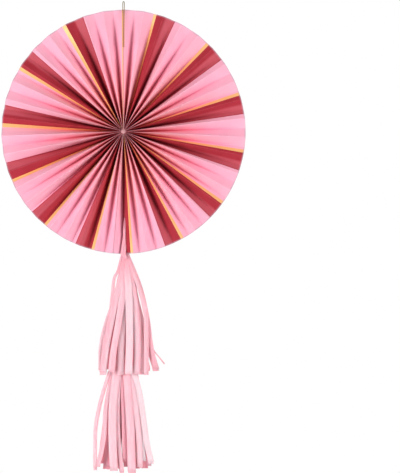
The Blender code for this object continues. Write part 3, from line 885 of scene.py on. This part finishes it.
def strip(shape, maps, rng, mark, spots, width, curl, tone):
    """A bundle of two tissue layers that lie almost on each other, gathered at the neck."""
    total = sum((b - a).length for a, b in zip(spots, spots[1:]))
    lean = rng.uniform(-STRIP_LEAN, STRIP_LEAN)
    for layer in range(STRIP_LAYERS):
        drop = rng.uniform(-LAYER_DROP, 0.0) if layer else 0.0
        shift = Vector((rng.uniform(-LAYER_SHIFT, LAYER_SHIFT) * layer, LAYER_GAP * layer, 0))
        widths = []
        curls = []
        twists = []
        path = []
        for k, spot in enumerate(spots):
            share = k / (len(spots) - 1)
            opened = min(1.0, share * total / GATHER_LENGTH)
            smooth = opened * opened * (3 - 2 * opened)
            widths.append(NECK_WIDTH + (width - NECK_WIDTH) * smooth)
            curls.append(curl * (NECK_CURL - smooth))
            twists.append(lean * math.sin(share * STRIP_WAVE + mark) * smooth)
            path.append(spot + shift * min(1.0, share / SHIFT_FULL) + Vector((0, 0, drop * share)))
        ribbon(shape, maps, path, widths, curls, twists, mark, layer, STRIP_COLUMNS, tone)


# Front strips of each tier

# The photograph's row at the lower tier's neck
LOWER_NECK_ROW = 344
# Width in pixels, depth at the end in millimetres, tone (painted shade above nought, paler below), and points
# down the middle in pixels
UPPER_STRIPS = (
    (3.0, -8, 0.25,
     (122.6, 253), (118.3, 270), (115.1, 276), (113.6, 282), (113.1, 288), (111.8, 300), (109.6, 320),
     (105.0, 347), (102.6, 368)),
    (6.5, -9, 0.1,
     (124.0, 252.5), (121.9, 271), (119.8, 283), (117.7, 291), (114.6, 302), (110.6, 322), (106.0, 346),
     (103.0, 372)),
    (5.6, -6, 0.0,
     (123.8, 253), (121.8, 270), (119.8, 285), (114.8, 302), (110.0, 314), (104.5, 332), (101.5, 350),
     (101.4, 370)),
    (6.4, -12, 0.0,
     (125.0, 253), (124.0, 285), (121.5, 305), (117.5, 330), (113.8, 352), (112.2, 370.5)),
    (7.6, -8, 0.15,
     (124.8, 252.7), (123.6, 290), (122.4, 320), (121.4, 345), (120.8, 373.5)),
    (7.2, -13, -0.3,
     (126.0, 253), (128.0, 280), (129.5, 310), (129.8, 340), (128.8, 373)),
    (6.8, -9, 0.0,
     (126.8, 252.6), (131.5, 280), (135.5, 310), (137.5, 340), (137.0, 373.6)),
    (6.6, -7, 0.5,
     (127.0, 253), (132.5, 284), (138.0, 318), (141.2, 345), (141.8, 373.4)),
    (4.4, -10, 0.2,
     (127.2, 252.4), (133.5, 272), (140.0, 290), (145.8, 312), (146.4, 335), (146.2, 373)),
    (4.9, -7, 0.45,
     (127.2, 253), (134.0, 270), (141.5, 292), (147.6, 320), (150.6, 343), (155.6, 368.5)),
    (0.7, -8, 0.5,
     (127.4, 253), (135.0, 272), (142.5, 294), (148.6, 322), (151.2, 341), (154.2, 350), (159.0, 356),
     (164.7, 363)),
)
LOWER_STRIPS = (
    (3.6, -7, 0.1,
     (123.0, LOWER_NECK_ROW), (112.5, 365), (106.3, 382), (102.0, 396), (98.6, 410), (96.0, 425),
     (95.3, 440), (95.4, 467.5)),
    (4.4, -9, 0.1,
     (122.6, LOWER_NECK_ROW), (114.0, 370), (108.4, 395), (105.8, 412), (104.9, 430), (102.6, 447),
     (98.2, 466)),
    (8.0, -11, -0.2,
     (122.8, LOWER_NECK_ROW), (117.5, 370), (113.5, 400), (112.6, 430), (114.2, 468.5)),
    (4.2, -8, 0.1,
     (123.0, LOWER_NECK_ROW), (119.0, 380), (117.6, 415), (119.2, 445), (122.4, 471.2)),
    (6.4, -5, 0.7,
     (123.2, LOWER_NECK_ROW), (123.8, 380), (125.0, 420), (125.6, 460)),
    (7.8, -10, 0.1,
     (123.6, LOWER_NECK_ROW), (127.0, 375), (129.5, 410), (131.0, 440), (131.9, 470.6)),
    (6.2, -7, -0.2,
     (124.0, LOWER_NECK_ROW), (130.0, 375), (135.0, 405), (138.5, 435), (139.8, 464.8)),
    (4.6, -5, -0.9,
     (124.0, LOWER_NECK_ROW), (131.0, 370), (137.5, 400), (142.0, 430), (144.0, 459.5)),
    (5.0, -8, -0.7,
     (124.4, LOWER_NECK_ROW), (133.0, 368), (139.8, 392), (144.2, 420), (147.0, 440), (151.6, 461)),
)
MILLIMETRE = 0.001
FRONT_POINTS = 36
FRONT_CURL = 0.0012
# How far the front strips lie before the hub's plane, and how far back their first point is from there
FRONT_SPACE = 0.001
FRONT_STEP_BACK = 0.002
DEPTH_POWER = 0.7

# Rows of strips behind the front ones

# Depth of their ends, number of strips, share of the tier's width, and tone, which deepens them with painted
# shade
BACK_ROWS = ((-0.004, 8, 0.78, 0.75), (0.0035, 8, 0.88, 0.85), (0.0120, 8, 1.0, 0.0))
BACK_POINTS = 30
BACK_CURL = -0.0010
BACK_WIDTHS = (0.0085, 0.0105)
# Where they start, from the neck: half of the spread sideways, the first row's depth and the next ones'
BACK_START_SPREAD = 0.003
BACK_START_DEPTH = 0.0010
BACK_START_STEP = 0.0008
# How far their middles keep inside the tier's edge and from a parting
BACK_INSET = 0.0045
PARTING_SPACE = 0.0075
# How much their ends differ at random, sideways, in depth and in height, and how much they sway
END_SHIFT = 0.002
END_DEPTH_SHIFT = 0.001
END_RISES = (0.002, 0.012)
SWAY = 0.0015


def front_spots(pixels, depth):
    """Even points down a front strip's middle, with its depth at the end."""
    steps = len(pixels) - 1
    depths = [depth * (k / steps) ** DEPTH_POWER - FRONT_SPACE for k in range(steps + 1)]
    depths[0] += FRONT_STEP_BACK
    return smooth_route([seen(x, y, y_depth) for (x, y), y_depth in zip(pixels, depths)], FRONT_POINTS)[0]


def back_spots(start, end, spread, sway):
    """Points down a back strip's middle, which spreads from the neck to its end."""
    spots = []
    for k in range(BACK_POINTS):
        share = k / (BACK_POINTS - 1)
        spots.append(Vector((
            start.x + (end.x - start.x) * share ** spread + sway * math.sin(math.pi * share),
            start.y + (end.y - start.y) * share ** DEPTH_POWER,
            start.z + (end.z - start.z) * share)))
    return spots


def tier(name, node, front, neck, length, spread, half_width, lean, parting, seed, material):
    """One tier of the tassel: the strips that the camera sees, then the ones behind them.

    The ones behind keep clear of the parting, a place across the tier where light comes through.
    """
    rng = random.Random(seed)
    shape = bmesh.new()
    maps = strip_maps(shape)
    mark = seed * 10.0
    for width, depth, tone, *pixels in front:
        mark += 1
        spots = front_spots(pixels, depth * MILLIMETRE)
        strip(shape, maps, rng, mark, spots, width * SCALE, FRONT_CURL, tone)
    for row, (depth, count, reach, tone) in enumerate(BACK_ROWS):
        for k in range(count):
            mark += 1
            side = (2 * (k + 0.5) / count - 1) * reach
            start = neck + Vector((side * BACK_START_SPREAD, BACK_START_DEPTH + row * BACK_START_STEP, 0))
            end = Vector((
                neck.x + lean + side * (half_width - BACK_INSET) + rng.uniform(-END_SHIFT, END_SHIFT),
                depth + rng.uniform(-END_DEPTH_SHIFT, END_DEPTH_SHIFT),
                neck.z - length + rng.uniform(*END_RISES)))
            if abs(end.x - parting) < PARTING_SPACE:
                end.x = parting + math.copysign(PARTING_SPACE, end.x - parting)
            spots = back_spots(start, end, spread, rng.uniform(-SWAY, SWAY))
            strip(shape, maps, rng, mark, spots, rng.uniform(*BACK_WIDTHS), BACK_CURL, tone)
    bmesh.ops.recalc_face_normals(shape, faces=shape.faces)
    made = mesh_object(name, shape, [material])
    thicken(made, "tissue", TISSUE)
    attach(made, "root")
    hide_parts(node)
    return made


# Tail of the upper tier

# From its tip to the rim: its length, how far it is from the groove's bottom up the panel at the tip
# and how much that falls, and how far it is before the paper at the tip and how much that grows, both
# evenly and quickly near the rim
TAIL_LENGTH = 0.059
TAIL_POINTS = 26
TAIL_UP = 0.0068
TAIL_FALL = 0.0018
TAIL_FRONT = 0.0009
TAIL_GROWTH = 0.0014
TAIL_RIM_GROWTH = 0.0017
TAIL_RIM_POWER = 6
# Steps from the rim into the neck: to the right, forward, back (as the square of the steps) and down
CROSSING_STEPS = 8
CROSSING_RIGHT = 0.00028
CROSSING_FORWARD = 0.0003
CROSSING_BACK = 0.00006
CROSSING_DOWN = 0.0012
# Its tissue: widths at the tip and added by the neck, curl, and how each layer differs from the last
TAIL_LAYERS = 3
TAIL_COLUMNS = 6
# Tone of the tail: its share of painted shade
TAIL_TONE = 0.5
TAIL_MARK = 200.3
TIP_WIDTH = 0.0014
ADDED_WIDTH = 0.0098
WIDTH_POWER = 0.9
LAYER_NARROWER = 0.0004
TAIL_CURL = 0.0008
LAYER_FLATTER = 0.00035
TAIL_LAYER_SHIFT = (0.0003, -0.0002)
TWIST = 0.5
TWIST_STEP = 0.35
TWIST_MIDDLE = -0.3


def tail_path():
    """Places along the upper tail, on the panel in the groove at the foot of the disc."""
    spots = []
    for k in range(TAIL_POINTS):
        share = k / (TAIL_POINTS - 1)
        radius = DISC_RADIUS - TAIL_LENGTH * (1 - share)
        top = fold_point(RIGHT_PLEATS - 1, radius, False)
        bottom = fold_point(RIGHT_PLEATS - 0.5, radius, False)
        up = (top - bottom).normalized() * (TAIL_UP - TAIL_FALL * share)
        before = TAIL_FRONT + TAIL_GROWTH * share + TAIL_RIM_GROWTH * share ** TAIL_RIM_POWER
        spots.append(HUB + on_disc(bottom + up + front_normal(top, bottom) * before, radius))
    return spots


def crossing_path(end):
    """Places from the tail's end at the rim down into the neck."""
    spots = []
    for k in range(1, CROSSING_STEPS + 1):
        back = CROSSING_BACK * k * k - CROSSING_FORWARD * k
        spots.append(end + Vector((CROSSING_RIGHT * k, back, -CROSSING_DOWN * k)))
    return spots


def tail(material):
    """The twisted tail in the groove, which runs on into the upper tier's neck."""
    shape = bmesh.new()
    maps = strip_maps(shape)
    spots = tail_path()
    spots += crossing_path(spots[-1])
    count = len(spots)
    for layer in range(TAIL_LAYERS):
        widths = [TIP_WIDTH + ADDED_WIDTH * (k / (count - 1)) ** WIDTH_POWER - LAYER_NARROWER * layer
                  for k in range(count)]
        curls = [TAIL_CURL - LAYER_FLATTER * layer] * count
        twists = [TWIST * math.sin(k * TWIST_STEP + layer) + TWIST_MIDDLE for k in range(count)]
        shift = Vector((*TAIL_LAYER_SHIFT, 0)) * layer
        path = [spot + shift for spot in spots]
        ribbon(shape, maps, path, widths, curls, twists, TAIL_MARK, layer, TAIL_COLUMNS, TAIL_TONE)
    bmesh.ops.recalc_face_normals(shape, faces=shape.faces)
    made = mesh_object("tassel_tail", shape, [material])
    thicken(made, "tissue", TAIL_TISSUE)
    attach(made, "root")
    return made


def tassel():
    """Both tiers, each with its neck's place, and the upper one's tail."""
    material = tissue_material()
    upper_neck = Vector((0.0026, -0.0006, RIM_BOTTOM + 0.0010))
    upper = tier("tassel_upper_tissue", "tassel_upper", UPPER_STRIPS, upper_neck, length=0.1955, spread=1.25,
                 half_width=0.0505, lean=0.0057, parting=0.0460, seed=3, material=material)
    lower_neck = Vector((0.0, 0.0, seen(0, LOWER_NECK_ROW).z))
    tier("tassel_lower_tissue", "tassel_lower", LOWER_STRIPS, lower_neck, length=0.2055, spread=0.60,
         half_width=0.0500, lean=0.0006, parting=-0.0031, seed=8, material=material)
    tail(material).parent = upper


def thread_and_tape_finishes():
    """Materials of the CAD nodes that stay as they are."""
    binding = yarn_material("binding_yarn", (0.56, 0.28, 0.29), (0.34, 0.14, 0.15), 0.8, 0.0)
    tape = tape_material()
    for node, material in (("binding_thread", binding), ("hub_knot", knot_material()),
                           ("seam_tape_top", tape), ("seam_tape_bottom", tape)):
        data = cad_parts[node].data
        data.materials.clear()
        data.materials.append(material)


# Lights, with their powers in watts, floor and background
LIGHT_TARGET = Vector((0.05, 0, -0.35))
WHITE = (1, 1, 1, 1)
FILL_COLOUR = (1, 0.99, 0.98, 1)
FILL_STRENGTH = 0.17
FLOOR_PLACE = (0, -0.15, -1.05)
FLOOR_SIZE = (3.2, 2.4, 1)


def area_light(name, place, width, height, power):
    data = bpy.data.lights.new(name, "AREA")
    data.shape = "RECTANGLE"
    data.size = width
    data.size_y = height
    data.energy = power
    made = bpy.data.objects.new(name, data)
    made.location = place
    made.rotation_euler = (LIGHT_TARGET - Vector(place)).to_track_quat("-Z", "Y").to_euler()
    bpy.context.collection.objects.link(made)


def lights():
    area_light("left_softbox", (-2.1, -1.4, -0.3), width=1.0, height=1.6, power=54)
    area_light("right_softbox", (2.2, -1.4, -0.3), width=1.0, height=1.6, power=48)
    area_light("front_fill", (0.1, -3.2, 0.6), width=1.6, height=1.2, power=13)
    area_light("back_softbox", (-0.6, 2.6, 0.7), width=1.8, height=1.4, power=42)


def background_shader(tree, colour, strength):
    node = tree.nodes.new("ShaderNodeBackground")
    node.inputs["Color"].default_value = colour
    node.inputs["Strength"].default_value = strength
    return node.outputs["Background"]


def background():
    """White to the camera, to gloss and through glass, and a weak fill for everything else."""
    world = bpy.data.worlds.new("studio")
    bpy.context.scene.world = world
    world.use_nodes = True
    tree = world.node_tree
    tree.nodes.clear()
    path = tree.nodes.new("ShaderNodeLightPath")
    direct = larger(tree, path.outputs["Is Camera Ray"], path.outputs["Is Glossy Ray"])
    direct = larger(tree, direct, path.outputs["Is Transmission Ray"])
    mix = tree.nodes.new("ShaderNodeMixShader")
    link(tree, direct, mix.inputs[0])
    link(tree, background_shader(tree, FILL_COLOUR, FILL_STRENGTH), mix.inputs[1])
    link(tree, background_shader(tree, WHITE, 1.0), mix.inputs[2])
    output = tree.nodes.new("ShaderNodeOutputWorld")
    link(tree, mix.outputs[0], output.inputs["Surface"])


def floor():
    bpy.ops.mesh.primitive_plane_add(size=1, location=FLOOR_PLACE)
    made = bpy.context.object
    made.name = "floor"
    made.scale = FLOOR_SIZE
    made.data.materials.append(floor_material())


make_camera()
hanging_thread()
SHEET_MATERIALS = sheet_materials()
pleated_sheet("right_paper", "pleated_sheet_right", False, SHEET_MATERIALS)
pleated_sheet("left_paper", "pleated_sheet_left", True, SHEET_MATERIALS)
tassel()
thread_and_tape_finishes()

bpy.context.scene.view_settings.view_transform = "Standard"
background()
floor()
lights()
